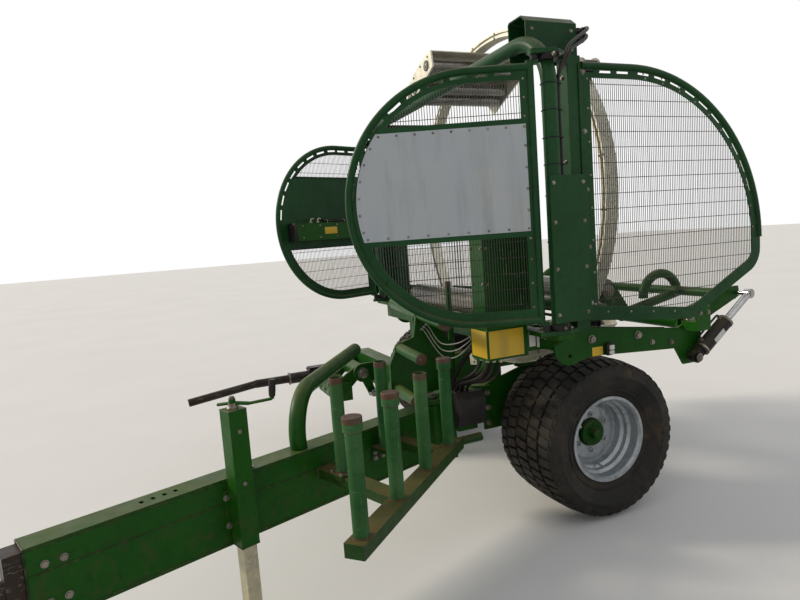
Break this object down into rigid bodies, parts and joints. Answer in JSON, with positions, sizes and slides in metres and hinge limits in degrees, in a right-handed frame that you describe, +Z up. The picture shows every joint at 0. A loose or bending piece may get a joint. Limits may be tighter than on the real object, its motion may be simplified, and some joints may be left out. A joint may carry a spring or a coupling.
{
  "type": "trailed bale wrapper",
  "caption": "Trailed round-bale wrapper with an upright wrapping ring between wire guards, an offset drawbar on its jack, film spindles and a side loader.",
  "frame": {"origin": "on the ground under the middle of the whole machine's outline", "axes": "+Z up, -Y towards the front where the drawbar leads, +X the machine's left side"},
  "size_m": [3.1832, 4.0552, 2.875],
  "materials": {
    "green_paint": "semi-gloss, worn and dusty",
    "guard_paint": "semi-gloss, dusty",
    "ring_metal": "dull galvanised, pale on its front face",
    "bare_steel": "worn bright steel",
    "dark_steel": "dark, brown with rust",
    "black_paint": "satin, dusty",
    "panel_white": "satin, plain",
    "rim_silver": "satin, muddy",
    "tyre_rubber": "matt, muddy",
    "hose_rubber": "matt",
    "wire_mesh": "thin welded wires"
  },
  "bodies": {
    "machine_frame": {"chassis_frame": "green_paint", "axle_beam": "green_paint", "front_arch": "guard_paint", "drive_box": "guard_paint", "drive_motor": "black_paint", "ring_guides": "dark_steel", "roller_stand": "green_paint", "post_panels": "guard_paint", "rear_guard_frames": "guard_paint", "rear_guard_meshes": "wire_mesh", "valve_box": "green_paint", "hoses": "hose_rubber", "front_tubes": "green_paint", "side_plates": "green_paint"},
    "wheel_left": {"tyre_left": "tyre_rubber", "rim_left": "rim_silver", "hub_left": "green_paint"},
    "wheel_right": {"tyre_right": "tyre_rubber", "rim_right": "rim_silver", "hub_right": "green_paint"},
    "drawbar": {"drawbar_beam": "green_paint", "hitch_eye": "dark_steel", "jack_sleeve": "green_paint", "film_rack": "green_paint", "film_spindles": "green_paint", "bale_hoop": "green_paint"},
    "jack": {"jack_leg": "bare_steel"},
    "ring": {"wrapping_ring": "ring_metal", "dispenser_frames": "ring_metal", "dispenser_rollers": "bare_steel"},
    "front_roller": {"roller_front": "bare_steel"},
    "rear_roller": {"roller_rear": "bare_steel"},
    "left_guard": {"guard_left_frame": "guard_paint", "guard_left_mesh": "wire_mesh", "guard_left_panel": "panel_white"},
    "right_guard": {"guard_right_frame": "guard_paint", "guard_right_mesh": "wire_mesh", "guard_right_box": "green_paint"},
    "loader": {"loader_arm": "green_paint", "loader_tine": "dark_steel"},
    "table": {"table_frame": "green_paint"},
    "table_barrels": {"table_ram_barrels": "black_paint"},
    "table_rods": {"table_ram_rods": "bare_steel"},
    "loader_barrel": {"loader_ram_barrel": "black_paint"},
    "loader_rod": {"loader_ram_rod": "bare_steel"}
  },
  "joints": [
    {"name": "left_wheel_turn", "type": "hinge", "parent": "machine_frame", "child": "wheel_left", "pos_m": [0.768, 0.908, 0.433], "axis": [1, 0, 0], "continuous": true},
    {"name": "right_wheel_turn", "type": "hinge", "parent": "machine_frame", "child": "wheel_right", "pos_m": [-1.022, 0.908, 0.433], "axis": [1, 0, 0], "continuous": true},
    {"name": "ring_turn", "type": "hinge", "parent": "machine_frame", "child": "ring", "pos_m": [-0.127, 0.988, 1.775], "axis": [0, 1, 0], "continuous": true},
    {"name": "front_roller_turn", "type": "hinge", "parent": "machine_frame", "child": "front_roller", "pos_m": [-0.127, 0.588, 1.155], "axis": [1, 0, 0], "continuous": true},
    {"name": "rear_roller_turn", "type": "hinge", "parent": "table", "child": "rear_roller", "pos_m": [-0.127, 1.398, 1.155], "axis": [1, 0, 0], "continuous": true},
    {"name": "drawbar_swing", "type": "hinge", "parent": "machine_frame", "child": "drawbar", "pos_m": [0.438, 0.108, 0.505], "axis": [0, 0, 1], "range_deg": [-35, 0]},
    {"name": "jack_slide", "type": "slide", "parent": "drawbar", "child": "jack", "axis": [0, 0, 1], "range_m": [0, 0.3]},
    {"name": "left_guard_swing", "type": "hinge", "parent": "machine_frame", "child": "left_guard", "pos_m": [1.068, 0.468, 1.742], "axis": [0, 0, 1], "range_deg": [0, 100]},
    {"name": "right_guard_swing", "type": "hinge", "parent": "machine_frame", "child": "right_guard", "pos_m": [-1.322, 0.468, 1.742], "axis": [0, 0, -1], "range_deg": [0, 100]},
    {"name": "loader_lift", "type": "hinge", "parent": "machine_frame", "child": "loader", "pos_m": [-0.997, 0.118, 0.6], "axis": [-1, 0, 0], "range_deg": [0, 75]},
    {"name": "table_tip", "type": "hinge", "parent": "machine_frame", "child": "table", "pos_m": [-0.127, 1.528, 1], "axis": [-1, 0, 0], "range_deg": [0, 60]},
    {"name": "table_barrel_tilt", "type": "hinge", "parent": "machine_frame", "child": "table_barrels", "pos_m": [-0.127, 1.508, 0.805], "axis": [-1, 0, 0], "range_deg": [0, 54.1]},
    {"name": "table_rod_slide", "type": "slide", "parent": "table_barrels", "child": "table_rods", "axis": [0, 0.8067, 0.591], "range_m": [-0.193, 0]},
    {"name": "loader_barrel_tilt", "type": "hinge", "parent": "machine_frame", "child": "loader_barrel", "pos_m": [-0.725, 0.658, 0.43], "axis": [-1, 0, 0], "range_deg": [0, 2]},
    {"name": "loader_rod_slide", "type": "slide", "parent": "loader_barrel", "child": "loader_rod", "axis": [0, -0.9992, 0.0412], "range_m": [0, 0.194]}
  ],
  "couplings": [
    {"joint": "table_barrel_tilt", "follows": "table_tip", "ratio": 0.8858},
    {"joint": "table_rod_slide", "follows": "table_tip", "m_per_rad": -0.1807},
    {"joint": "loader_barrel_tilt", "follows": "loader_lift", "ratio": 0.0198},
    {"joint": "loader_rod_slide", "follows": "loader_lift", "m_per_rad": 0.145}
  ]
}
